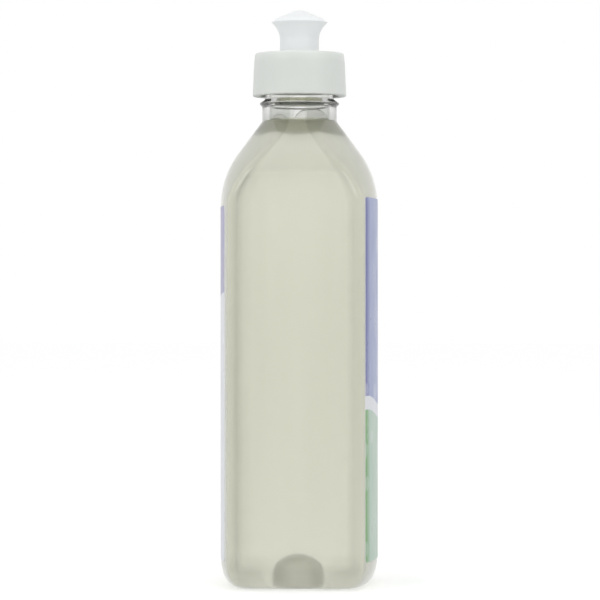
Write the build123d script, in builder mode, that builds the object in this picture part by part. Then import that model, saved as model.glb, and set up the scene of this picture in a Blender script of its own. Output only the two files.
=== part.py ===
import os
from math import cos, pi, radians, sin, sqrt, tan

from build123d import *

# A squeeze bottle of shampoo with a screw cap and a push-pull spout.
# Millimetres. +Z is up, the front label faces -Y, and the origin is the middle of the base.

# Bottle body: flat sides at +X and -X, crowned faces at -Y and +Y
body_width = 61.4
body_depth = 56.2
corner_radius = 4.0
side_turn = 2.0
face_turn = 16.3
body_wall = 0.6
base_wall = 1.0

# Base edge: the wall rolls in to a smaller base, further at the sides than at the faces
base_edge_height = 9.7
base_side_inset = 9.0
base_face_inset = 5.6
base_corner_radius = 7.0

# Pushed-up base: a shallow pan inside the standing ring, with a dome and a gate mark
ring_width = 4.0
pan_height = 2.5
pan_draft = 1.6
pan_corner_radius = 6.0
dome_radius = 9.5
dome_height = 8.0
gate_radius = 2.0
gate_height = 0.6

# Shoulder: straight slopes to the neck, with a blend into each wall. The faces take up more and
# more of the way round, so that the ridges beside the sides run in towards the neck.
neck_root_height = 166.2
face_slope = 36.6
face_blend = 32.0
side_slope = 46.0
side_blend = 9.0
neck_side_turn = 14.0
neck_face_turn = 71.0

# Neck, support bead and screw finish
neck_radius = 13.4
neck_length = 5.3
bead_radius = 14.3
bead_lower_rise = 0.8
bead_land = 0.5
bead_top_rise = 1.3
finish_radius = 12.4
finish_wall = 1.5
finish_length = 13.7
lip_chamfer = 0.3
thread_radius = 13.75

# Fill
fill_above_neck_root = 0.3

# Cap
cap_thread_clearance = 0.25
cap_bottom_gap = 1.15
cap_rim_radius = 16.85
cap_shoulder_radius = 16.3
cap_shoulder_drop = 2.8
cap_top_radius = 15.95
cap_edge_chamfer = 0.2
cap_deck = 2.0
cap_rim_chamfer = 0.3

# Seal ring in the roof of the cap
seal_thickness = 0.8
seal_hole_radius = 5.0
seal_edge_gap = 0.4

# Chimney and post that the spout slides on
chimney_radius = 5.5
chimney_bore = 4.2
chimney_height = 7.0
stop_bead_radius = 6.1
stop_bead_height = 1.0
stop_bead_chamfer = 0.3
spoke_count = 3
spoke_width = 1.4
spoke_height = 1.6
post_root_radius = 2.5
post_radius = 1.4
post_cone_height = 4.0
post_top_drop = 0.4
post_tip_round = 0.4

# Spout
slide_clearance = 0.1
spout_travel = 4.5
stop_clearance = 0.3
spout_radius = 7.0
spout_straight = 4.9
flare_radius = 10.1
flare_height = 11.2
brow_radius = 8.5
brow_height = 12.6
crown_radius = 2.6
crown_drop = 0.35
spout_height = 15.5
roof_thickness = 1.9

# Labels
label_thickness = 0.1
label_bottom = 9.7
label_corner_radius = 2.0
front_label_width = 52.8
front_label_top = 138.2
back_label_width = 48.0
back_label_top = 135.3

# Heights that follow from the sizes above
half_width = body_width / 2
half_depth = body_depth / 2
bead_bottom = neck_root_height + neck_length
bead_top = bead_bottom + bead_lower_rise + bead_land + bead_top_rise
lip_top = bead_top + finish_length
finish_bore = finish_radius - finish_wall
neck_wall = neck_radius - finish_bore
fill_level = neck_root_height + fill_above_neck_root
roof_height = lip_top + seal_thickness
deck_top = roof_height + cap_deck
cap_bottom = bead_top + cap_bottom_gap
cap_bore = thread_radius + cap_thread_clearance
chimney_top = deck_top + chimney_height
spout_top = deck_top + spout_height
pour_radius = post_radius + slide_clearance

# The base edge and the shoulder are cut into stations, given as shares of their heights
lower_shoulder_shares = (0.0, 0.12, 0.24, 0.32, 0.39, 0.46, 0.54, 0.63)
upper_shoulder_shares = (0.63, 0.74, 0.86, 1.0)
edge_shares = (0.0, 0.3, 0.6, 0.85, 1.0)


def shoulder_start(half, slope, blend):
    """Height at which a wall of the body starts to lean in towards the neck."""
    corner_height = neck_root_height - (half - neck_radius) / tan(radians(slope))
    return corner_height - blend * tan(radians(slope) / 2)


def shoulder_half(height, half, slope, blend):
    """Half size of the shoulder at a height: wall, then blend arc, then straight cone."""
    start = shoulder_start(half, slope, blend)
    arc_end = start + blend * sin(radians(slope))
    if height <= start:
        return half
    if height <= arc_end:
        return half - blend + sqrt(blend**2 - (height - start) ** 2)
    return neck_radius + (neck_root_height - height) * tan(radians(slope))


shoulder_bottom = shoulder_start(half_depth, face_slope, face_blend)
shoulder_height = neck_root_height - shoulder_bottom


def body_section(height, width_half, depth_half, side_angle, face_angle, corner):
    """Closed section of tangent arcs from the middle of the front: faces, sides and four corners."""
    side, face = radians(side_angle), radians(face_angle)
    across = width_half - corner * (cos(side) - sin(face))
    along = depth_half - corner * (cos(face) - sin(side))
    spread = (1 - cos(side)) * (1 - cos(face)) - sin(face) * sin(side)
    side_radius = (across * (1 - cos(face)) - along * sin(face)) / spread
    face_radius = (along * (1 - cos(side)) - across * sin(side)) / spread
    corner_angle = 90 - side_angle - face_angle
    with BuildSketch(Plane.XY.offset(height)) as section:
        with BuildLine():
            arc = JernArc((0, -depth_half), (1, 0), face_radius, face_angle)
            arc = JernArc(arc @ 1, arc % 1, corner, corner_angle)
            arc = JernArc(arc @ 1, arc % 1, side_radius, 2 * side_angle)
            arc = JernArc(arc @ 1, arc % 1, corner, corner_angle)
            arc = JernArc(arc @ 1, arc % 1, face_radius, 2 * face_angle)
            arc = JernArc(arc @ 1, arc % 1, corner, corner_angle)
            arc = JernArc(arc @ 1, arc % 1, side_radius, 2 * side_angle)
            arc = JernArc(arc @ 1, arc % 1, corner, corner_angle)
            JernArc(arc @ 1, arc % 1, face_radius, face_angle)
        make_face()
    return section.sketch


def edge_section(share, grow, floor):
    """Section of the rounded base edge at a share of its quarter turn."""
    angle = share * pi / 2
    roll = 1 - sin(angle)
    return body_section(
        floor + (base_edge_height - floor) * (1 - cos(angle)),
        half_width + grow - base_side_inset * roll,
        half_depth + grow - base_face_inset * roll,
        side_turn,
        face_turn,
        corner_radius + grow + (base_corner_radius - corner_radius) * roll,
    )


def wall_section(height, grow):
    """Section of the straight part of the body."""
    return body_section(
        height,
        half_width + grow,
        half_depth + grow,
        side_turn,
        face_turn,
        corner_radius + grow,
    )


def shoulder_section(share, grow, neck_grow):
    """Section of the shoulder at a share of its height, grown or shrunk by the walls given."""
    height = shoulder_bottom + share * shoulder_height
    skin = grow + share**4 * (neck_grow - grow)
    return body_section(
        height,
        shoulder_half(height, half_width, side_slope, side_blend) + skin,
        shoulder_half(height, half_depth, face_slope, face_blend) + skin,
        side_turn + (neck_side_turn - side_turn) * share**2,
        face_turn + (neck_face_turn - face_turn) * share**1.5,
        corner_radius + (neck_radius - corner_radius) * share**5 + skin,
    )


def body_form(grow, neck_grow, floor):
    """The body from its floor to the root of the neck, with its walls grown by the sizes given."""
    with BuildPart() as form:
        loft([edge_section(share, grow, floor) for share in edge_shares])
        add(wall_section(base_edge_height, grow))
        extrude(amount=shoulder_bottom - base_edge_height)
        loft([shoulder_section(share, grow, neck_grow) for share in lower_shoulder_shares])
        loft([shoulder_section(share, grow, neck_grow) for share in upper_shoulder_shares])
    return form.part


def push_up(grow):
    """The hollow under the base, or with a wall added, the raised floor above it."""
    pan_half_width = half_width - base_side_inset - ring_width + grow
    pan_half_depth = half_depth - base_face_inset - ring_width + grow
    pan_top = pan_height + grow
    dome_half = dome_radius + grow
    sections = [
        body_section(
            height,
            pan_half_width - draft,
            pan_half_depth - draft,
            side_turn,
            face_turn,
            pan_corner_radius,
        )
        for height, draft in ((0, 0), (pan_top, pan_draft))
    ]
    with BuildPart() as hollow:
        loft(sections)
        with BuildSketch(Plane.XZ):
            with BuildLine():
                Line((0, 0), (dome_half, 0))
                Line((dome_half, 0), (dome_half, pan_top))
                TangentArc(
                    (0, pan_top + dome_height),
                    (dome_half, pan_top),
                    tangent=(1, 0),
                )
                Line((0, pan_top + dome_height), (0, 0))
            make_face()
        revolve()
    return hollow.part


# The space inside the bottle, up to the lip
with BuildPart() as cavity:
    add(body_form(-body_wall, -neck_wall, base_wall))
    with BuildSketch(Plane.XZ):
        with BuildLine():
            Polyline(
                (0, neck_root_height),
                (finish_bore, neck_root_height),
                (finish_bore, lip_top),
                (0, lip_top),
                close=True,
            )
        make_face()
    revolve()
    add(push_up(base_wall), mode=Mode.SUBTRACT)

# The outside of the bottle, without its hollows
with BuildPart() as outside:
    add(body_form(0, 0, 0))
    with BuildSketch(Plane.XZ):
        with BuildLine():
            Polyline(
                (0, neck_root_height),
                (neck_radius, neck_root_height),
                (neck_radius, bead_bottom),
                (bead_radius, bead_bottom + bead_lower_rise),
                (bead_radius, bead_bottom + bead_lower_rise + bead_land),
                (finish_radius, bead_top),
                (finish_radius, lip_top),
                (0, lip_top),
                close=True,
            )
        make_face()
    revolve()

# Bottle: one blown piece with its neck, finish and pushed-up base
with BuildPart() as bottle:
    add(outside.part)
    add(push_up(0), mode=Mode.SUBTRACT)
    with BuildSketch(Plane.XY.offset(pan_height + dome_height - gate_height)):
        Circle(gate_radius)
    extrude(amount=gate_height + base_wall / 2)
    add(cavity.part, mode=Mode.SUBTRACT)
    chamfer(bottle.edges().filter_by(GeomType.CIRCLE).group_by(Axis.Z)[-1], lip_chamfer)

# Shampoo: the liquid that fills the bottle to just inside the neck
with BuildPart() as shampoo:
    add(cavity.part)
    split(bisect_by=Plane.XY.offset(fill_level), keep=Keep.BOTTOM)

# Cap: skirt, deck, and the chimney that the spout slides on
with BuildPart() as cap:
    with BuildSketch(Plane.XZ):
        with BuildLine():
            bead_underside = chimney_top - stop_bead_height
            Polyline(
                (cap_top_radius - cap_edge_chamfer, deck_top),
                (cap_top_radius, deck_top - cap_edge_chamfer),
                (cap_shoulder_radius, deck_top - cap_shoulder_drop),
                (cap_rim_radius, cap_bottom + cap_rim_chamfer),
                (cap_rim_radius - cap_rim_chamfer, cap_bottom),
                (cap_bore + cap_rim_chamfer, cap_bottom),
                (cap_bore, cap_bottom + cap_rim_chamfer),
                (cap_bore, roof_height),
                (chimney_bore, roof_height),
                (chimney_bore, chimney_top),
                (stop_bead_radius - stop_bead_chamfer, chimney_top),
                (stop_bead_radius, chimney_top - stop_bead_chamfer),
                (stop_bead_radius, bead_underside),
                (chimney_radius, bead_underside),
                (chimney_radius, deck_top),
                close=True,
            )
        make_face()
    revolve()

    # Post that closes the pouring hole, carried by spokes across the chimney
    with BuildSketch(Plane.XZ):
        with BuildLine():
            Polyline(
                (0, chimney_top - spoke_height),
                (post_root_radius, chimney_top - spoke_height),
                (post_root_radius, chimney_top),
                (post_radius, chimney_top + post_cone_height),
                (post_radius, spout_top - post_top_drop - post_tip_round),
                (post_radius - post_tip_round, spout_top - post_top_drop),
                (0, spout_top - post_top_drop),
                close=True,
            )
        make_face()
    revolve()
    with BuildSketch(Plane.XY.offset(chimney_top - spoke_height)):
        with PolarLocations((post_root_radius + chimney_bore) / 2, spoke_count, start_angle=90):
            Rectangle(chimney_radius - post_radius, spoke_width)
    extrude(amount=spoke_height)

# Seal ring: squeezed between the neck's lip and the roof of the cap
with BuildPart() as seal_ring:
    with BuildSketch(Plane.XY.offset(lip_top)):
        Circle(cap_bore - seal_edge_gap)
        Circle(seal_hole_radius, mode=Mode.SUBTRACT)
    extrude(amount=seal_thickness)

# Spout: the push-pull tip with its flared rim, shut on the post
with BuildPart() as spout:
    with BuildSketch(Plane.XZ):
        with BuildLine():
            lip_bore = chimney_radius + slide_clearance
            barrel_bore = stop_bead_radius + slide_clearance
            stop_height = chimney_top - stop_bead_height - spout_travel - stop_clearance
            flare_edge = (flare_radius, deck_top + flare_height)
            brow = (brow_radius, deck_top + brow_height)
            crown_edge = (crown_radius, spout_top - crown_drop)
            cone_slope = (crown_edge[1] - brow[1]) / (brow_radius - crown_radius)
            roof_edge = brow[1] + (brow_radius - barrel_bore) * cone_slope - roof_thickness
            Polyline(
                flare_edge,
                brow,
                crown_edge,
                (pour_radius, spout_top),
                (pour_radius, spout_top - roof_thickness),
                (barrel_bore, roof_edge),
                (barrel_bore, stop_height),
                (lip_bore, stop_height),
                (lip_bore, deck_top),
                (spout_radius, deck_top),
                (spout_radius, deck_top + spout_straight),
            )
            TangentArc((spout_radius, deck_top + spout_straight), flare_edge, tangent=(0, 1))
        make_face()
    revolve()


def label_film(width, top, facing):
    """Thin film on a crowned face of the body: facing is -1 for the front and 1 for the back."""
    with BuildPart() as film:
        add(body_form(label_thickness, label_thickness, 0))
        with BuildSketch(Plane.XZ):
            with Locations((0, (label_bottom + top) / 2)):
                RectangleRounded(width, top - label_bottom, label_corner_radius)
        extrude(amount=-facing * body_depth, mode=Mode.INTERSECT)
        add(outside.part, mode=Mode.SUBTRACT)
    return film


front_label = label_film(front_label_width, front_label_top, -1)
back_label = label_film(back_label_width, back_label_top, 1)

os.makedirs("parts", exist_ok=True)
bottle.part.label = "bottle"
export_step(bottle.part, "parts/bottle.step")
shampoo.part.label = "shampoo"
export_step(shampoo.part, "parts/shampoo.step")
cap.part.label = "cap"
export_step(cap.part, "parts/cap.step")
seal_ring.part.label = "seal_ring"
export_step(seal_ring.part, "parts/seal_ring.step")
spout.part.label = "spout"
export_step(spout.part, "parts/spout.step")
front_label.part.label = "front_label"
export_step(front_label.part, "parts/front_label.step")
back_label.part.label = "back_label"
export_step(back_label.part, "parts/back_label.step")
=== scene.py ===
from math import asin, cos, pi, radians, sin, sqrt, tan

import bmesh
import bpy
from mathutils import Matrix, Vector


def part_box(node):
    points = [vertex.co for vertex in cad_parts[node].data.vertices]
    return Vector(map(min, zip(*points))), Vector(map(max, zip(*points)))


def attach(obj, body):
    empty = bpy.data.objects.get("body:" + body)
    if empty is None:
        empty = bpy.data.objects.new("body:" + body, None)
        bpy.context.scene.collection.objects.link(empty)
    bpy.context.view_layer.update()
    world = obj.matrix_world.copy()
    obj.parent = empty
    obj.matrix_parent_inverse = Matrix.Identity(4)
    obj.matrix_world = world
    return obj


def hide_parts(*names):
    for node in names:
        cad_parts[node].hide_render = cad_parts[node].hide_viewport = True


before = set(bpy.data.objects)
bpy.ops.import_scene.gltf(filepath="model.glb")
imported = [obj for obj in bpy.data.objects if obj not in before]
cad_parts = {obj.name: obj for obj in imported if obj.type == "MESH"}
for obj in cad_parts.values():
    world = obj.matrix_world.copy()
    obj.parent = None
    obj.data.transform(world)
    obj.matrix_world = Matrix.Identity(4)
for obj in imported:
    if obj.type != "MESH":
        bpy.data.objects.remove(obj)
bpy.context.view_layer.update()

# A squeeze bottle of shampoo with a screw cap and a push-pull spout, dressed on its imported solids.
# Metres. +Z is up, the front label faces -Y, and the origin is the middle of the base.

bottle_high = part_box("bottle")[1]
shampoo_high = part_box("shampoo")[1]
front_low, front_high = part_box("front_label")
back_low, back_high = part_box("back_label")

# Body of the bottle
half_depth = bottle_high[1]
side_bulge = 0.0026
half_width = half_depth + side_bulge
corner_radius = 0.004
side_turn = 2.0
face_turn = 16.3
body_wall = 0.0006
base_wall = 0.001

# Base edge
base_edge_height = 0.0097
base_side_inset = 0.009
base_face_inset = 0.0056
base_corner_radius = 0.007

# Pushed-up base
ring_width = 0.004
pan_height = 0.0025
pan_draft = 0.0016
pan_floor_width = 0.002
pan_corner_radius = 0.006
dome_radius = 0.0095
dome_height = 0.008
gate_radius = 0.002
gate_middle = 0.0002
gate_height = 0.0006
pan_round = 0.0007

# Shoulder, neck and finish
neck_root = 0.1662
face_slope = 36.6
face_blend = 0.032
side_slope = 46.0
side_blend = 0.009
neck_side_turn = 14.0
neck_face_turn = 71.0
skin_power = 4
side_turn_power = 2
face_turn_power = 1.5
corner_power = 5
neck_radius = 0.0134
neck_start = 0.0004
bead_bottom = 0.1715
bead_radius = 0.0143
bead_lower_rise = 0.0008
bead_land = 0.0005
bead_top = 0.1741
finish_radius = 0.0124
finish_bore = 0.0109
lip_top = bottle_high[2]
neck_wall = neck_radius - finish_bore
edge_round = 0.00025

# Fill
fill_level = shampoo_high[2]
meniscus_rise = 0.0005
meniscus_width = 0.003
meniscus_steps = 8
meniscus_power = 2.5
level_shares = (0.5, 0.1)
wet_overlap = 0.0003

# Screw thread
thread_pitch = 0.004233
thread_turns = 1.5
thread_start = 0.1778
neck_thread_tip = 0.0136
cap_bore = 0.014
cap_thread_tip = 0.0129
thread_sink = 0.0002
thread_fade_share = 12
thread_end_share = 0.05
neck_ridge = (0.0011, 0.0005)
cap_ridge = (0.0009, 0.0004)
cap_thread_turns = thread_turns - 0.25

# How finely the round forms are cut
side_steps = 16
corner_steps = 12
face_steps = 44
edge_steps = 10
wall_steps = 12
shoulder_steps = 40
dome_steps = 14
round_steps = 4
lathe_steps = 144
thread_steps = 96


def shoulder_start(half, slope, blend):
    """Height at which a wall of the body starts to lean in towards the neck."""
    corner_height = neck_root - (half - neck_radius) / tan(radians(slope))
    return corner_height - blend * tan(radians(slope) / 2)


def shoulder_half(height, half, slope, blend):
    """Half size of the shoulder at a height: wall, then blend arc, then straight cone."""
    start = shoulder_start(half, slope, blend)
    arc_end = start + blend * sin(radians(slope))
    if height <= start:
        return half
    if height <= arc_end:
        return half - blend + sqrt(blend**2 - (height - start) ** 2)
    return neck_radius + (neck_root - height) * tan(radians(slope))


shoulder_bottom = shoulder_start(half_depth, face_slope, face_blend)


def section_radii(half_x, half_y, side_angle, face_angle, corner):
    """Radii of the side and face arcs that meet the corner arcs smoothly."""
    side, face = radians(side_angle), radians(face_angle)
    across = half_x - corner * (cos(side) - sin(face))
    along = half_y - corner * (cos(face) - sin(side))
    divisor = (1 - cos(side)) * (1 - cos(face)) - sin(face) * sin(side)
    side_radius = (across * (1 - cos(face)) - along * sin(face)) / divisor
    face_radius = (along * (1 - cos(side)) - across * sin(side)) / divisor
    return side_radius, face_radius


def arc(centre, radius, start, turn, steps):
    """Points of an arc, without its last one."""
    for step in range(steps):
        angle = radians(start + turn * step / steps)
        yield centre[0] + radius * cos(angle), centre[1] + radius * sin(angle)


def ring(level):
    """One closed ring of the body: two sides, two faces and four corners, as tangent arcs."""
    height, half_x, half_y, side_angle, face_angle, corner = level
    side_radius, face_radius = section_radii(half_x, half_y, side_angle, face_angle, corner)
    side = radians(side_angle)
    corner_x = half_x - side_radius + (side_radius - corner) * cos(side)
    corner_y = (side_radius - corner) * sin(side)
    corner_angle = 90 - side_angle - face_angle
    points = []
    for turned, flip in ((0, 1), (180, -1)):
        points += arc((flip * (half_x - side_radius), 0), side_radius,
                      turned - side_angle, 2 * side_angle, side_steps)
        points += arc((flip * corner_x, flip * corner_y), corner,
                      turned + side_angle, corner_angle, corner_steps)
        points += arc((0, flip * (half_y - face_radius)), face_radius,
                      turned + 90 - face_angle, 2 * face_angle, face_steps)
        points += arc((-flip * corner_x, flip * corner_y), corner,
                      turned + 90 + face_angle, corner_angle, corner_steps)
    return [(x, y, height) for x, y in points]


def circle_level(radius, height):
    return height, radius, radius, neck_side_turn, neck_face_turn, radius


def wall_level(height, grow):
    half_x, half_y, corner = half_width + grow, half_depth + grow, corner_radius + grow
    return height, half_x, half_y, side_turn, face_turn, corner


def base_edge_level(share, grow, floor):
    """A ring of the rounded base edge, at a share of its quarter turn."""
    angle = share * pi / 2
    roll = 1 - sin(angle)
    return (
        floor + (base_edge_height - floor) * (1 - cos(angle)),
        half_width + grow - base_side_inset * roll,
        half_depth + grow - base_face_inset * roll,
        side_turn,
        face_turn,
        corner_radius + grow + (base_corner_radius - corner_radius) * roll,
    )


def shoulder_level(share, grow, neck_grow):
    """A ring of the shoulder at a share of its height, grown or shrunk by the walls given."""
    height = shoulder_bottom + share * (neck_root - shoulder_bottom)
    skin = grow + share**skin_power * (neck_grow - grow)
    return (
        height,
        shoulder_half(height, half_width, side_slope, side_blend) + skin,
        shoulder_half(height, half_depth, face_slope, face_blend) + skin,
        side_turn + (neck_side_turn - side_turn) * share**side_turn_power,
        face_turn + (neck_face_turn - face_turn) * share**face_turn_power,
        corner_radius + (neck_radius - corner_radius) * share**corner_power + skin,
    )


def pan_level(inset, height):
    """A ring under the base, at an inset from its outer edge."""
    return (
        height,
        half_width - base_side_inset - inset,
        half_depth - base_face_inset - inset,
        side_turn,
        face_turn,
        pan_corner_radius,
    )


def rounded(points, radius):
    """A line of points with each inner corner replaced by a short smooth curve."""
    smooth = [points[0]]
    for before, corner, after in zip(points, points[1:], points[2:]):
        ends = []
        for other in (before, after):
            length = sqrt((other[0] - corner[0]) ** 2 + (other[1] - corner[1]) ** 2)
            share = min(radius / length, 0.5)
            ends.append([corner[k] + (other[k] - corner[k]) * share for k in (0, 1)])
        for step in range(round_steps + 1):
            t = step / round_steps
            smooth.append(tuple(
                ends[0][k] * (1 - t) ** 2 + 2 * corner[k] * t * (1 - t) + ends[1][k] * t**2
                for k in (0, 1)
            ))
    smooth.append(points[-1])
    return smooth


def dome_levels(grow):
    """Rings of the dome in the base, from near its middle to its foot."""
    reach, top = dome_radius + grow, pan_height + grow + dome_height
    sphere = (reach**2 + dome_height**2) / (2 * dome_height)
    radii = [reach * (step / dome_steps) for step in range(1, dome_steps + 1)]
    return [circle_level(r, top - sphere + sqrt(sphere**2 - r**2)) for r in radii]


def floor_levels(grow, edge_inset, edge_height):
    """Rings of the shallow pan, from the dome's foot out to the base edge."""
    pan_inset = ring_width - grow
    line = [
        (pan_inset + pan_draft + pan_floor_width, pan_height + grow),
        (pan_inset + pan_draft, pan_height + grow),
        (pan_inset + pan_draft * edge_height / (pan_height + grow), edge_height),
        (edge_inset, edge_height),
    ]
    return [pan_level(*point) for point in rounded(line, pan_round)[:-1]]


def side_levels(grow, neck_grow, floor):
    """Rings from the base edge up the wall and the shoulder to the root of the neck."""
    levels = [base_edge_level(step / edge_steps, grow, floor) for step in range(edge_steps + 1)]
    rise = shoulder_bottom - base_edge_height
    levels += [wall_level(base_edge_height + rise * step / wall_steps, grow)
               for step in range(1, wall_steps)]
    levels += [shoulder_level(step / shoulder_steps, grow, neck_grow)
               for step in range(shoulder_steps + 1)]
    return levels


def gate_levels():
    """Rings of the small moulding mark under the dome."""
    top = pan_height + dome_height
    line = [(gate_middle, top - gate_height), (gate_radius, top - gate_height), (gate_radius, top)]
    return [circle_level(*point) for point in rounded(line, edge_round)[:-1]]


def strip(low, high, count):
    """The quads between two closed rings of points, from the first point of each."""
    turned = [(k, (k + 1) % count) for k in range(count)]
    return [(low + k, low + after, high + after, high + k) for k, after in turned]


def build_mesh(name, vertices, faces, crease=35.0):
    """A closed mesh object, facing out, and shaded smooth apart from its sharp edges."""
    mesh = bpy.data.meshes.new(name)
    mesh.from_pydata(vertices, [], faces)
    solid = bmesh.new()
    solid.from_mesh(mesh)
    bmesh.ops.recalc_face_normals(solid, faces=solid.faces)
    solid.to_mesh(mesh)
    solid.free()
    mesh.shade_smooth()
    made = bpy.data.objects.new(name, mesh)
    bpy.context.scene.collection.objects.link(made)
    mesh.set_sharp_from_angle(angle=radians(crease))
    return made


def skin_rings(name, rings, crease=35.0):
    """A closed skin through a list of rings, with a fan over the first and the last."""
    count = len(rings[0])
    vertices = [point for one in rings for point in one]
    faces = []
    for row in range(len(rings) - 1):
        faces += strip(row * count, (row + 1) * count, count)
    for row in (0, len(rings) - 1):
        middle = len(vertices)
        vertices.append(tuple(sum(point[k] for point in rings[row]) / count for k in range(3)))
        faces += [(row * count + k, row * count + (k + 1) % count, middle) for k in range(count)]
    return build_mesh(name, vertices, faces, crease)


# Materials: small helpers, then one function for each
white = (1, 1, 1, 1)
pattern_low, pattern_high = 0.3, 0.7


def add_node(tree, kind, values=(), **settings):
    made = tree.nodes.new(kind)
    for name, value in settings.items():
        setattr(made, name, value)
    for name, value in dict(values).items():
        made.inputs[name].default_value = value
    return made


def start_material(name):
    material = bpy.data.materials.new(name)
    material.use_nodes = True
    tree = material.node_tree
    tree.nodes.clear()
    output = add_node(tree, "ShaderNodeOutputMaterial")
    return material, tree, output


def stretched_place(tree, scale):
    """Object coordinates in metres, scaled along each axis."""
    place = add_node(tree, "ShaderNodeTexCoord")
    mapping = add_node(tree, "ShaderNodeMapping", {"Scale": scale})
    tree.links.new(place.outputs["Object"], mapping.inputs["Vector"])
    return mapping.outputs["Vector"]


def noise(tree, scale, detail=3.0, roughness=0.5):
    made = add_node(tree, "ShaderNodeTexNoise",
                    {"Scale": 1.0, "Detail": detail, "Roughness": roughness})
    tree.links.new(stretched_place(tree, scale), made.inputs["Vector"])
    return made.outputs["Fac"]


def spread(tree, source, low, high):
    """Maps a noise value to a range."""
    made = add_node(tree, "ShaderNodeMapRange", {
        "From Min": pattern_low,
        "From Max": pattern_high,
        "To Min": low,
        "To Max": high,
    })
    tree.links.new(source, made.inputs["Value"])
    return made.outputs["Result"]


def add_bump(tree, shader, height, distance, strength=1.0):
    made = add_node(tree, "ShaderNodeBump", {"Strength": strength, "Distance": distance})
    tree.links.new(height, made.inputs["Height"])
    tree.links.new(made.outputs["Normal"], shader.inputs["Normal"])
    return made


def step_up(tree, value, edge, width):
    """0 below an edge and 1 above it, with a soft step."""
    made = add_node(tree, "ShaderNodeMapRange",
                    {"From Min": edge - width, "From Max": edge + width},
                    interpolation_type="SMOOTHSTEP")
    tree.links.new(value, made.inputs["Value"])
    return made.outputs["Result"]


def blend_colour(tree, factor, low, high):
    """Mixes two colours, each a socket or a plain value."""
    made = add_node(tree, "ShaderNodeMix", data_type="RGBA")
    tree.links.new(factor, made.inputs["Factor"])
    for name, colour in (("A", low), ("B", high)):
        if isinstance(colour, tuple):
            made.inputs[name].default_value = colour
        else:
            tree.links.new(colour, made.inputs[name])
    return made.outputs["Result"]


def mix_shaders(tree, factor, first, second):
    made = add_node(tree, "ShaderNodeMixShader")
    tree.links.new(factor, made.inputs["Fac"])
    tree.links.new(first.outputs[0], made.inputs[1])
    tree.links.new(second.outputs[0], made.inputs[2])
    return made


def add_shaders(tree, first, second):
    made = add_node(tree, "ShaderNodeAddShader")
    tree.links.new(first.outputs[0], made.inputs[0])
    tree.links.new(second.outputs[0], made.inputs[1])
    return made


def calculate(tree, operation, *values, clamp=False):
    """A Math node on its values, each a socket or a plain number."""
    made = add_node(tree, "ShaderNodeMath", operation=operation, use_clamp=clamp)
    for place, value in enumerate(values):
        if isinstance(value, (int, float)):
            made.inputs[place].default_value = value
        else:
            tree.links.new(value, made.inputs[place])
    return made.outputs[0]


def add_values(tree, first, second):
    return calculate(tree, "ADD", first, second, clamp=True)


def place_on(tree, axis):
    """One object coordinate, in metres."""
    place = add_node(tree, "ShaderNodeTexCoord")
    parts = add_node(tree, "ShaderNodeSeparateXYZ")
    tree.links.new(place.outputs["Object"], parts.inputs["Vector"])
    return parts.outputs[axis]


def finish_surface(material, tree, shader, output):
    """Joins a plain shader to the material's surface."""
    tree.links.new(shader.outputs["BSDF"], output.inputs["Surface"])
    return material


def let_lamps_through(tree, shader, output, tint):
    """Lets lamp light pass clear plastic, so that what is behind it isn't in its shadow."""
    path = add_node(tree, "ShaderNodeLightPath")
    clear = add_node(tree, "ShaderNodeBsdfTransparent", {"Color": tint})
    mix = mix_shaders(tree, path.outputs["Is Shadow Ray"], shader, clear)
    tree.links.new(mix.outputs["Shader"], output.inputs["Surface"])


# Clear plastic: tints, bending, haze of its wetted inside, and the frosting of its base
pet_tint = (0.99, 0.99, 0.985, 1)
pet_wavy_tint = (0.965, 0.965, 0.95, 1)
# Greyer tint of the corners and shoulder bands: partly thicker plastic, partly painted shade.
pet_thick_and_shade_tint = (0.68, 0.695, 0.66, 1)
# Painted shade: a dark rim where the plastic is seen at glancing angles.
pet_glancing_painted_shade_tint = (0.4, 0.41, 0.39, 1)
pet_inside_colour = (0.2, 0.2, 0.19, 1)
pet_absorption = 35.0
pet_ior = 1.57
pet_gloss = (0.01, 0.05)
glancing_edge = 0.66
glancing_width = 0.2
wet_haze = 0.25
wet_base_haze = 0.7
frosted_roughness = 0.6
streak_grain = (150, 150, 9)
gloss_grain = (90, 90, 30)
wave_grain = (130, 130, 14)
outer_wave_height = 0.0001
inner_wave_height = 0.0003

# Shampoo: colour, bending, haze, and how upright a normal is on what counts as its top
shampoo_ior = 1.35
shampoo_colour = (0.97, 0.97, 0.885, 1)
shampoo_absorption = 30.0
shampoo_haze = 14.0
haze_forward = 0.6
ripple_grain = (260, 260, 260)
ripple_height = 0.00008
level_slope = 0.72


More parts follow.
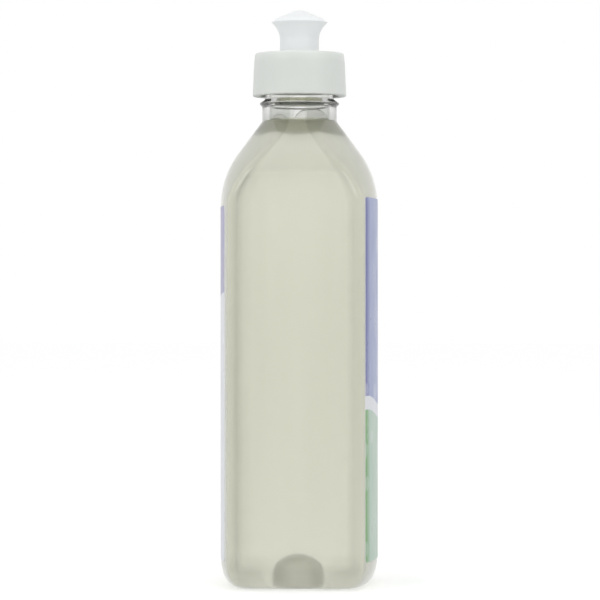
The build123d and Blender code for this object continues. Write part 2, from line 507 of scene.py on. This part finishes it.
def clear_pet():
    """Blown PET: clear, wavy up its walls, softer where wet; greyer in its corners and shoulder
    bands, partly from thicker plastic and partly as painted shade, and darker at glancing angles as
    a painted dark rim, little of it from the longer path through the wall.
    """
    material, tree, output = start_material("clear_pet")
    dry = add_node(tree, "ShaderNodeBsdfPrincipled", {"Transmission Weight": 1.0, "IOR": pet_ior})
    wet = add_node(tree, "ShaderNodeBsdfPrincipled", {
        "Base Color": pet_tint,
        "Transmission Weight": 1.0,
        "IOR": pet_ior / shampoo_ior,
    })
    streaks = spread(tree, noise(tree, streak_grain, detail=1), 0.0, 1.0)
    thin = blend_colour(tree, streaks, pet_tint, pet_wavy_tint)
    thick_and_shade = add_node(tree, "ShaderNodeAttribute", attribute_name="thick_and_shade")
    # The corners and shoulder bands are tinted greyer: painted shade, only partly from thicker
    # plastic.
    tint = blend_colour(tree, thick_and_shade.outputs["Fac"], thin, pet_thick_and_shade_tint)
    # Painted shade: the base colour darkens where the surface is seen at a glancing angle, little of
    # it from the longer path through the wall.
    facing = add_node(tree, "ShaderNodeLayerWeight", {"Blend": 0.5})
    painted_rim_shade = step_up(tree, facing.outputs["Facing"], glancing_edge, glancing_width)
    tree.links.new(blend_colour(tree, painted_rim_shade, tint, pet_glancing_painted_shade_tint), dry.inputs["Base Color"])

    gloss = spread(tree, noise(tree, gloss_grain, detail=4), *pet_gloss)
    frosted = add_node(tree, "ShaderNodeAttribute", attribute_name="frosted")
    rough = calculate(tree, "MULTIPLY", frosted.outputs["Fac"], frosted_roughness)
    tree.links.new(add_values(tree, gloss, rough), dry.inputs["Roughness"])
    haze = add_node(tree, "ShaderNodeMapRange", {"To Min": wet_haze, "To Max": wet_base_haze})
    tree.links.new(frosted.outputs["Fac"], haze.inputs["Value"])
    tree.links.new(haze.outputs["Result"], wet.inputs["Roughness"])
    waves = noise(tree, wave_grain, detail=1)
    add_bump(tree, dry, waves, outer_wave_height)
    add_bump(tree, wet, waves, inner_wave_height)

    wetted = add_node(tree, "ShaderNodeAttribute", attribute_name="wet")
    let_lamps_through(tree, mix_shaders(tree, wetted.outputs["Fac"], dry, wet), output, pet_tint)
    body = add_node(tree, "ShaderNodeVolumeAbsorption",
                    {"Color": pet_inside_colour, "Density": pet_absorption})
    tree.links.new(body.outputs["Volume"], output.inputs["Volume"])
    return material


def shampoo_liquid():
    """Clear liquid with a pale yellow-grey body: only its top face bends light by itself."""
    material, tree, output = start_material("shampoo_liquid")
    shader = add_node(tree, "ShaderNodeBsdfPrincipled", {
        "Base Color": white,
        "Roughness": 0.0,
        "Transmission Weight": 1.0,
        "IOR": shampoo_ior,
    })
    add_bump(tree, shader, noise(tree, ripple_grain, detail=2), ripple_height)
    geometry = add_node(tree, "ShaderNodeNewGeometry")
    facing = add_node(tree, "ShaderNodeSeparateXYZ")
    tree.links.new(geometry.outputs["True Normal"], facing.inputs["Vector"])
    high = calculate(tree, "GREATER_THAN", place_on(tree, "Z"), fill_level - meniscus_rise)
    slope = calculate(tree, "ABSOLUTE", facing.outputs["Z"])
    top = calculate(tree, "MULTIPLY", high, calculate(tree, "GREATER_THAN", slope, level_slope))
    path = add_node(tree, "ShaderNodeLightPath")
    seen = calculate(tree, "SUBTRACT", 1.0, path.outputs["Is Shadow Ray"])
    clear = add_node(tree, "ShaderNodeBsdfTransparent")
    mix = mix_shaders(tree, calculate(tree, "MULTIPLY", top, seen), clear, shader)
    tree.links.new(mix.outputs["Shader"], output.inputs["Surface"])

    body = add_node(tree, "ShaderNodeVolumeAbsorption",
                    {"Color": shampoo_colour, "Density": shampoo_absorption})
    haze = add_node(tree, "ShaderNodeVolumeScatter", {
        "Color": white,
        "Density": shampoo_haze,
        "Anisotropy": haze_forward,
    })
    tree.links.new(add_shaders(tree, body, haze).outputs[0], output.inputs["Volume"])
    return material


# White plastics, foam and the bare back of the labels
cap_colours = ((0.73, 0.76, 0.73, 1), (0.7, 0.73, 0.69, 1))
cap_softness = 0.7
spout_colours = ((0.9, 0.93, 0.94, 1), (0.87, 0.9, 0.91, 1))
spout_softness = 0.3
soft_reach = 0.004
plastic_ior = 1.49
plastic_gloss = (0.34, 0.48)
patch_grain = (60, 60, 25)
plastic_gloss_grain = (300, 300, 120)
moulded_grain = (2200, 2200, 2200)
moulded_grain_height = 0.00003
foam_colours = ((0.78, 0.78, 0.75, 1), (0.88, 0.88, 0.86, 1))
foam_cells = 2600.0
foam_cell_height = 0.00005
foam_roughness = 0.85
bare_film_colour = (0.92, 0.92, 0.91, 1)
bare_film_gloss = (0.4, 0.55)
bare_film_grain = (200, 200, 200)
film_ior = 1.5
film_gloss = (0.25, 0.38)
film_gloss_grain = (150, 150, 60)
film_ripple_grain = (120, 120, 60)
film_ripple_height = 0.00006


def moulded_white(name, colours, softness):
    """White moulded plastic: slightly see-through, with a fine moulded grain."""
    material, tree, output = start_material(name)
    shader = add_node(tree, "ShaderNodeBsdfPrincipled", {
        "Subsurface Weight": softness,
        "Subsurface Radius": (soft_reach, soft_reach, soft_reach),
        "Subsurface Scale": 1.0,
        "IOR": plastic_ior,
    })
    patches = spread(tree, noise(tree, patch_grain, detail=4), 0.0, 1.0)
    tree.links.new(blend_colour(tree, patches, *colours), shader.inputs["Base Color"])
    gloss = noise(tree, plastic_gloss_grain, detail=5)
    tree.links.new(spread(tree, gloss, *plastic_gloss), shader.inputs["Roughness"])
    grain = noise(tree, moulded_grain, detail=3)
    add_bump(tree, shader, grain, moulded_grain_height, strength=0.5)
    return finish_surface(material, tree, shader, output)


def seal_foam():
    """Fine white sealing foam."""
    material, tree, output = start_material("seal_foam")
    shader = add_node(tree, "ShaderNodeBsdfPrincipled", {"Roughness": foam_roughness})
    cells = add_node(tree, "ShaderNodeTexVoronoi", {"Scale": foam_cells})
    tree.links.new(stretched_place(tree, (1, 1, 1)), cells.inputs["Vector"])
    colour = blend_colour(tree, cells.outputs["Distance"], *foam_colours)
    tree.links.new(colour, shader.inputs["Base Color"])
    add_bump(tree, shader, cells.outputs["Distance"], foam_cell_height)
    return finish_surface(material, tree, shader, output)


def label_back():
    """Bare white back of a label film."""
    material, tree, output = start_material("label_back")
    shader = add_node(tree, "ShaderNodeBsdfPrincipled",
                      {"Base Color": bare_film_colour, "IOR": film_ior})
    gloss = noise(tree, bare_film_grain)
    tree.links.new(spread(tree, gloss, *bare_film_gloss), shader.inputs["Roughness"])
    return finish_surface(material, tree, shader, output)


def wavy_height(tree, swing):
    """Height in metres with a slow wave across the label's width."""
    turn = calculate(tree, "MULTIPLY", place_on(tree, "X"), 2 * pi / wave_period)
    wave = calculate(tree, "COSINE", turn)
    return calculate(tree, "ADD", place_on(tree, "Z"), calculate(tree, "MULTIPLY", wave, swing))


def printed_film(name, colour):
    """Glossy printed film: a colour socket over a fine, faintly uneven gloss."""
    material, tree, output = start_material(name)
    shader = add_node(tree, "ShaderNodeBsdfPrincipled", {"IOR": film_ior})
    tree.links.new(colour(tree), shader.inputs["Base Color"])
    gloss = noise(tree, film_gloss_grain, detail=4)
    tree.links.new(spread(tree, gloss, *film_gloss), shader.inputs["Roughness"])
    add_bump(tree, shader, noise(tree, film_ripple_grain, detail=2), film_ripple_height)
    return finish_surface(material, tree, shader, output)


# Label prints: inks, a painted glare across the fields, heights of their fields, waves and dots
white_ink = (0.7, 0.72, 0.76, 1)
# Painted glare: the pale colours light the middle of each field, the deep inks its upright edges.
deep_lavender_ink = (0.055, 0.065, 0.3, 1)
painted_glare_lavender = (0.27, 0.32, 0.53, 1)
deep_green_ink = (0.09, 0.31, 0.05, 1)
painted_glare_green = (0.4, 0.54, 0.44, 1)
back_lavender_ink = (0.31, 0.3, 0.48, 1)
wave_period = 0.048
front_wave_swing = 0.0018
front_band_bottom = 0.0617
front_band_top = 0.0665
back_wave_swing = 0.0012
back_head_bottom = 0.1035
print_edge = 0.0002
dot_ink_share = 0.25
dot_size = 0.28
dot_edge = 0.02
dot_scatter = 0.85
dot_spacing = (95, 0, 95)
# The painted glare fades out between these distances from the label's middle.
shade_start = 0.0195
shade_end = 0.0264


def painted_glare_fade(tree):
    """0 over the middle of a label, where the painted glare is, and 1 at its two upright edges."""
    across = calculate(tree, "ABSOLUTE", place_on(tree, "X"))
    return step_up(tree, across, (shade_start + shade_end) / 2, (shade_end - shade_start) / 2)


def front_print(tree):
    """A pale blue field over a green one, parted by a white wave, with plain round dots; each field
    has a painted glare, lighter towards the middle and deeper at the upright edges.
    """
    height = wavy_height(tree, front_wave_swing)
    dots = add_node(tree, "ShaderNodeTexVoronoi", {"Scale": 1.0, "Randomness": dot_scatter})
    tree.links.new(stretched_place(tree, dot_spacing), dots.inputs["Vector"])
    in_dot = add_node(tree, "ShaderNodeMapRange", {
        "From Min": dot_size - dot_edge,
        "From Max": dot_size + dot_edge,
        "To Min": dot_ink_share,
        "To Max": 0.0,
    }, interpolation_type="SMOOTHSTEP")
    tree.links.new(dots.outputs["Distance"], in_dot.inputs["Value"])
    # Painted glare: each field is lighter towards the middle of the label.
    shade = painted_glare_fade(tree)
    fields = []
    for pale, deep in ((painted_glare_lavender, deep_lavender_ink), (painted_glare_green, deep_green_ink)):
        plain = blend_colour(tree, shade, pale, deep)
        fields.append(blend_colour(tree, in_dot.outputs["Result"], plain, white_ink))
    upper, lower = fields
    over_green = step_up(tree, height, front_band_bottom, print_edge)
    over_band = step_up(tree, height, front_band_top, print_edge)
    return blend_colour(tree, over_band, blend_colour(tree, over_green, lower, white_ink), upper)


def back_print(tree):
    """White film with a pale lavender head."""
    in_head = step_up(tree, wavy_height(tree, back_wave_swing), back_head_bottom, print_edge)
    return blend_colour(tree, in_head, white_ink, back_lavender_ink)


# How thick the plastic of the shell is, with painted shade in the same shares: 0 for its thinnest
# walls and 1 for its thickest corners and darkest shoulder bands. A step between two shares has a
# middle and a width.
wall_corner_share = 0.65
face_share = 0.25
face_shoulder_share = 1.0
shoulder_side_share = 0.4
neck_root_share = 0.15
base_side_share = 0.4
base_corner_reach = 0.4
spill_middle_share = 0.4
spill_width_share = 0.66
flank_middle_share = 0.3
flank_width_share = 0.5
face_middle_share = 0.5
face_width_share = 0.8
corner_width_share = 0.1
corner_rise_height = 0.02
neck_root_power = 6
thick_and_shade_fade = 0.0015
heel_frosted_share = 0.25
heel_frosted_height = 0.005
side_shoulder = shoulder_start(half_width, side_slope, side_blend)


def soft_step(value, edge, width):
    """0 below an edge and 1 above it, with a soft step."""
    share = min(max((value - edge) / width + 0.5, 0), 1)
    return share**2 * (3 - 2 * share)


def ring_thickness_and_shade(height):
    """Shares of thickness and painted shade around one ring of the wall's outside, in the order of
    its points.
    """
    in_base = 1 - soft_step(height, base_edge_height - thick_and_shade_fade, thick_and_shade_fade)
    in_shoulder = soft_step(height, side_shoulder + thick_and_shade_fade, thick_and_shade_fade)
    in_body = 1 - soft_step(height, neck_root + thick_and_shade_fade, thick_and_shade_fade)
    at_end = max(in_base, soft_step(height, side_shoulder, corner_rise_height))
    corner = in_body * (wall_corner_share + (1 - wall_corner_share) * at_end)
    rise = min(max((height - shoulder_bottom) / (neck_root - shoulder_bottom), 0), 1)
    to_root = rise**neck_root_power
    shoulder_share = shoulder_side_share + (neck_root_share - shoulder_side_share) * to_root
    all_round = in_body * max(base_side_share * in_base, shoulder_share * in_shoulder)
    spill = soft_step(rise, spill_middle_share, spill_width_share)
    in_flank = soft_step(rise, flank_middle_share, flank_width_share)
    flank = (face_shoulder_share - face_share) * in_flank
    side, face = [], []
    for step in range(side_steps):
        reach = abs(2 * step / side_steps - 1)
        near_corner = in_base * soft_step(reach, 1 - base_corner_reach, corner_width_share)
        side.append(max(all_round, near_corner, corner * (step == 0)))
    for step in range(face_steps):
        reach = 1 - abs(2 * step / face_steps - 1)
        near_corner = corner * (1 - soft_step(reach, spill, corner_width_share))
        middle = face_share + flank * soft_step(reach, face_middle_share, face_width_share)
        face.append(max(all_round, near_corner, in_body * middle))
    return 2 * (side + [corner] * corner_steps + face + [corner] * corner_steps)


# Bottle: the blown shell, with its thick places and painted-shade bands and the inside that the
# shampoo wets marked on it
neck_outside = rounded([
    (neck_radius, neck_root + neck_start),
    (neck_radius, bead_bottom),
    (bead_radius, bead_bottom + bead_lower_rise),
    (bead_radius, bead_bottom + bead_lower_rise + bead_land),
    (finish_radius, bead_top),
    (finish_radius, lip_top),
    (finish_bore, lip_top),
    (finish_bore, fill_level),
], edge_round)
underside_levels = gate_levels() + dome_levels(0)[2:] + floor_levels(0, 0, 0)
wall_levels = side_levels(0, 0, 0) + [circle_level(*point) for point in neck_outside]
outer_levels = underside_levels + wall_levels
inner_levels = side_levels(-body_wall, -neck_wall, base_wall)[::-1]
ring_points = len(ring(outer_levels[0]))
underside_count = len(underside_levels) * ring_points
wet_start = (len(outer_levels) - 1) * ring_points
inner_base_start = (len(outer_levels) + len(inner_levels)) * ring_points
inner_levels += floor_levels(base_wall, body_wall, base_wall)[::-1]
inner_levels += dome_levels(base_wall)[::-1]
bottle = skin_rings("bottle_shell", [ring(level) for level in outer_levels + inner_levels])
clear_plastic = clear_pet()
bottle.data.materials.append(clear_plastic)
wetness = bottle.data.attributes.new("wet", "FLOAT", "FACE")
for face in bottle.data.polygons:
    wetness.data[face.index].value = 1.0 if min(face.vertices) >= wet_start else 0.0
# Marks the corners and shoulder bands for the greyer tint: thicker plastic and painted shade.
thickness_and_shade = bottle.data.attributes.new("thick_and_shade", "FLOAT", "POINT")
wall_shares = [share for level in wall_levels for share in ring_thickness_and_shade(level[0])]
for index, share in enumerate(wall_shares):
    thickness_and_shade.data[underside_count + index].value = share
frosting = bottle.data.attributes.new("frosted", "FLOAT", "POINT")
for index, point in enumerate(bottle.data.vertices):
    if index < underside_count or index >= inner_base_start:
        frosting.data[index].value = 1.0
    elif index < wet_start:
        heel = 1 - soft_step(point.co.z, heel_frosted_height, heel_frosted_height)
        frosting.data[index].value = heel_frosted_share * heel
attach(bottle, "bottle")
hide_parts("bottle")

# Shampoo: reaches half way into the walls, so that no air is left between it and the plastic
rim = finish_bore + wet_overlap
top_profile = [
    (rim, fill_level - meniscus_rise),
    (finish_bore, fill_level + meniscus_rise),
]
for step in range(1, meniscus_steps + 1):
    share = step / meniscus_steps
    top_profile.append((
        finish_bore - meniscus_width * share,
        fill_level + meniscus_rise * (1 - share) ** meniscus_power,
    ))
top_profile += [(finish_bore * share, fill_level) for share in level_shares]
liquid_floor = base_wall - wet_overlap
liquid_levels = dome_levels(liquid_floor)
liquid_levels += floor_levels(liquid_floor, body_wall, liquid_floor)
liquid_levels += side_levels(wet_overlap - body_wall, wet_overlap - neck_wall, liquid_floor)
liquid_levels += [circle_level(*point) for point in top_profile]
shampoo = skin_rings("shampoo_fill", [ring(level) for level in liquid_levels], crease=60)
shampoo.data.materials.append(shampoo_liquid())
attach(shampoo, "bottle")
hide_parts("shampoo")


# Bubbles: two thin domes of liquid on the fill, one small and one wide
bubble_film = 0.00012
bubble_sink = 0.0001
bubble_ior = 1.12
bubble_tint = (0.985, 0.985, 0.975, 1)
bubble_lamp_tint = (0.98, 0.98, 0.98, 1)
bubble_inside_colour = (0.4, 0.4, 0.37, 1)
bubble_absorption = 500.0
swirl_grain = (400, 400, 400)
swirl_gloss = (0.0, 0.06)
swirl_height = 0.00001
bubble_steps = 14
bubbles = (
    # middle x, middle y, radius, height
    (-0.001, 0.0071, 0.0027, 0.0025),
    (0.0, -0.0042, 0.0064, 0.0048),
)


def bubble_material():
    """A film of liquid: clear where it faces the eye and darker at its rim."""
    material, tree, output = start_material("bubble_film")
    shader = add_node(tree, "ShaderNodeBsdfPrincipled", {
        "Base Color": bubble_tint,
        "Transmission Weight": 1.0,
        "IOR": bubble_ior,
    })
    swirl = noise(tree, swirl_grain, detail=2)
    tree.links.new(spread(tree, swirl, *swirl_gloss), shader.inputs["Roughness"])
    add_bump(tree, shader, swirl, swirl_height)
    let_lamps_through(tree, shader, output, bubble_lamp_tint)
    film = add_node(tree, "ShaderNodeVolumeAbsorption",
                    {"Color": bubble_inside_colour, "Density": bubble_absorption})
    tree.links.new(film.outputs["Volume"], output.inputs["Volume"])
    return material


def bubble_rings(middle_x, middle_y, radius, height):
    """Rings of a dome's film: up its outside, then down its inside."""
    sphere = (radius**2 + height**2) / (2 * height)
    middle_z = fill_level + height - sphere
    around = [2 * pi * step / lathe_steps for step in range(lathe_steps)]
    rings = []
    for reach, order in ((sphere, 1), (sphere - bubble_film, -1)):
        lowest = asin((fill_level - bubble_sink - middle_z) / reach)
        shares = [step / bubble_steps for step in range(bubble_steps)][::order]
        for share in shares:
            angle = lowest + (pi / 2 - lowest) * share
            level = middle_z + reach * sin(angle)
            rings.append([(middle_x + reach * cos(angle) * cos(turn),
                           middle_y + reach * cos(angle) * sin(turn), level) for turn in around])
    return rings


def build_bubbles():
    """One mesh of every bubble: an outside and an inside dome each, joined at the foot."""
    vertices, faces = [], []
    for bubble in bubbles:
        rings = bubble_rings(*bubble)
        starts = [len(vertices) + row * lathe_steps for row in range(len(rings))]
        vertices += [point for one in rings for point in one]
        for row, low in enumerate(starts):
            if row != bubble_steps - 1:
                faces += strip(low, starts[(row + 1) % len(starts)], lathe_steps)
        for row in (bubble_steps - 1, bubble_steps):
            faces.append(tuple(range(starts[row], starts[row] + lathe_steps)))
    return build_mesh("foam_bubbles", vertices, faces)


foam = build_bubbles()
foam.data.materials.append(bubble_material())
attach(foam, "bottle")

# Labels: thin films that follow the crowned faces
film_inside = -0.00005
film_outside = 0.000085
label_corner = 0.002
label_columns = 40
label_rows = 36
label_corner_steps = 6


def face_reach(x, height, grow):
    """How far a crowned face stands out from the middle of the body, at a place on it."""
    if height <= shoulder_bottom:
        level = wall_level(height, grow)
    else:
        share = (height - shoulder_bottom) / (neck_root - shoulder_bottom)
        level = shoulder_level(share, grow, grow)
    radius = section_radii(*level[1:])[1]
    return level[2] - radius + sqrt(radius**2 - x**2)


def label_heights(bottom, top):
    """Heights of a label's rows, close together in its rounded corners."""
    corner = [label_corner * (1 - cos(pi / 2 * step / label_corner_steps))
              for step in range(label_corner_steps)]
    inner = top - bottom - 2 * label_corner
    middle = [label_corner + inner * step / label_rows for step in range(label_rows + 1)]
    rows = corner + middle + [top - bottom - rise for rise in reversed(corner)]
    return [bottom + rise for rise in rows]


def label_half(height, bottom, top, half):
    """Half width of a label at a height, rounded at its corners."""
    into = label_corner - min(height - bottom, top - height, label_corner)
    return half - label_corner + sqrt(max(label_corner**2 - into**2, 0))


def build_label(name, low, high, facing, print_colour, body_slot):
    """A label film: its printed outside, its bare back and its edge."""
    bottom, top, half = low[2], high[2], high[0]
    heights = label_heights(bottom, top)
    columns = label_columns + 1
    vertices = []
    for grow in (film_outside, film_inside):
        for height in heights:
            reach = label_half(height, bottom, top, half)
            for column in range(columns):
                x = reach * (2 * column / label_columns - 1)
                vertices.append((x, facing * face_reach(x, height, grow), height))
    last_row = len(heights) - 1
    layer, last = len(heights) * columns, last_row * columns
    faces = []
    for row in range(last_row):
        for column in range(label_columns):
            corner = row * columns + column
            quad = (corner, corner + 1, corner + columns + 1, corner + columns)
            faces += [quad, tuple(layer + k for k in quad)]
    outline = [(k, k + 1) for k in range(label_columns)]
    outline += [(k * columns + label_columns, (k + 1) * columns + label_columns)
                for k in range(last_row)]
    outline += [(last + k + 1, last + k) for k in reversed(range(label_columns))]
    outline += [((k + 1) * columns, k * columns) for k in reversed(range(last_row))]
    faces += [(start, layer + start, layer + end, end) for start, end in outline]
    label = build_mesh(name, vertices, faces)
    label.data.materials.append(printed_film(name + "_print", print_colour))
    label.data.materials.append(label_back())
    for face in label.data.polygons:
        face.material_index = 0 if max(face.vertices) < layer else 1
    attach(label, "bottle")
    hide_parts(body_slot)
    return label


front_label = build_label("front_label_film", front_low, front_high, -1, front_print,
                          "front_label")
back_label = build_label("back_label_film", back_low, back_high, 1, back_print, "back_label")


# Screw threads: one ridge on the neck and one in the cap, half a pitch apart
def build_thread(name, root, tip, start, turns, ridge):
    """A helical ridge from a root radius to a tip radius, faded out at both ends."""
    wide, narrow = ridge
    count = int(thread_steps * turns)
    profile = ((root, -wide), (tip, -narrow), (tip, narrow), (root, wide))
    vertices, faces = [], []
    for step in range(count + 1):
        share = step / count
        fade = min(1, thread_fade_share * min(share, 1 - share) + thread_end_share)
        angle = 2 * pi * turns * share
        middle = start + thread_pitch * turns * share
        for radius, rise in profile:
            reach = root + (radius - root) * fade
            vertices.append((reach * cos(angle), reach * sin(angle), middle + rise * fade))
    corners = len(profile)
    for step in range(count):
        faces += strip(corners * step, corners * (step + 1), corners)
    faces += [tuple(range(corners)), tuple(range(corners * count, corners * (count + 1)))]
    return build_mesh(name, vertices, faces, crease=60)


neck_thread = build_thread("neck_thread", finish_radius - thread_sink, neck_thread_tip,
                           thread_start, thread_turns, neck_ridge)
neck_thread.data.materials.append(clear_plastic)
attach(neck_thread, "bottle")

cap_thread = build_thread("cap_thread", cap_bore + thread_sink, cap_thread_tip,
                          thread_start + thread_pitch / 2, cap_thread_turns, cap_ridge)
cap_plastic = moulded_white("cap_plastic", cap_colours, cap_softness)
cap_thread.data.materials.append(cap_plastic)
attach(cap_thread, "cap")


def dress(node, material):
    """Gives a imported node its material."""
    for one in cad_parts[node].material_slots:
        one.material = material


dress("cap", cap_plastic)
dress("spout", moulded_white("spout_plastic", spout_colours, spout_softness))
dress("seal_ring", seal_foam())

# Floor, world and lamps
floor_half = 6.0
floor_drop = 0.0001
floor_grey = (0.8, 0.8, 0.8, 1)
floor_glow = 0.4
ambient_strength = 0.74
lamp_size = 0.9
lamp_aim = Vector((0, 0, 0.11))

floor_mesh = bpy.data.meshes.new("floor")
floor_mesh.from_pydata(
    [(-floor_half, -floor_half, 0), (floor_half, -floor_half, 0),
     (floor_half, floor_half, 0), (-floor_half, floor_half, 0)], [], [(0, 1, 2, 3)])
floor = bpy.data.objects.new("floor", floor_mesh)
bpy.context.scene.collection.objects.link(floor)
floor.location.z = -floor_drop


def floor_material():
    """White floor: matt, so that it keeps shadows, with a glow that makes its seen colour white."""
    material, tree, output = start_material("floor_white")
    path = add_node(tree, "ShaderNodeLightPath")
    matt = add_node(tree, "ShaderNodeBsdfDiffuse", {"Color": floor_grey})
    glow = add_node(tree, "ShaderNodeEmission", {"Color": white})
    seen = calculate(tree, "MULTIPLY", path.outputs["Is Camera Ray"], floor_glow)
    tree.links.new(seen, glow.inputs["Strength"])
    bright = add_node(tree, "ShaderNodeEmission", {"Color": white})
    through = add_values(tree, path.outputs["Is Glossy Ray"], path.outputs["Is Transmission Ray"])
    both = mix_shaders(tree, through, add_shaders(tree, matt, glow), bright)
    tree.links.new(both.outputs[0], output.inputs["Surface"])
    return material


floor_mesh.materials.append(floor_material())

world = bpy.data.worlds.new("studio")
bpy.context.scene.world = world
world.use_nodes = True
sky = world.node_tree
sky.nodes.clear()
world_output = add_node(sky, "ShaderNodeOutputWorld")
ambient = add_node(sky, "ShaderNodeBackground", {"Color": white, "Strength": ambient_strength})
backdrop = add_node(sky, "ShaderNodeBackground", {"Color": white, "Strength": 1.0})
rays = add_node(sky, "ShaderNodeLightPath")
shown = add_values(sky, rays.outputs["Is Camera Ray"], rays.outputs["Is Glossy Ray"])
shown = add_values(sky, shown, rays.outputs["Is Transmission Ray"])
sky_mix = mix_shaders(sky, shown, ambient, backdrop)
sky.links.new(sky_mix.outputs[0], world_output.inputs["Surface"])


def add_lamp(name, place, power):
    """A square soft box that faces the bottle."""
    data = bpy.data.lights.new(name, "AREA")
    data.size = lamp_size
    data.energy = power
    made = bpy.data.objects.new(name, data)
    made.location = place
    made.rotation_euler = (lamp_aim - made.location).to_track_quat("-Z", "Y").to_euler()
    bpy.context.scene.collection.objects.link(made)


add_lamp("key", (-1.0, 0.85, 0.95), 4.8)
add_lamp("fill", (-1.0, -0.9, 0.9), 4.4)

# Camera: level, at the narrow side, turned a little towards the front label
camera_distance = 1.08
camera_turn = 3.0
camera_height = 0.102
camera_data = bpy.data.cameras.new("camera")
camera_data.lens = 180.0
camera_data.sensor_width = 36.0
camera_data.shift_x = 0.0009
camera = bpy.data.objects.new("camera", camera_data)
camera.location = (
    -camera_distance * cos(radians(camera_turn)),
    -camera_distance * sin(radians(camera_turn)),
    camera_height,
)
camera.rotation_euler = (radians(90), 0, radians(camera_turn - 90))
bpy.context.scene.collection.objects.link(camera)
bpy.context.scene.camera = camera

scene = bpy.context.scene
scene.view_settings.view_transform = "Standard"
scene.cycles.max_bounces = 24
scene.cycles.transmission_bounces = 24
scene.cycles.volume_bounces = 16
scene.cycles.diffuse_bounces = 8
scene.cycles.transparent_max_bounces = 32
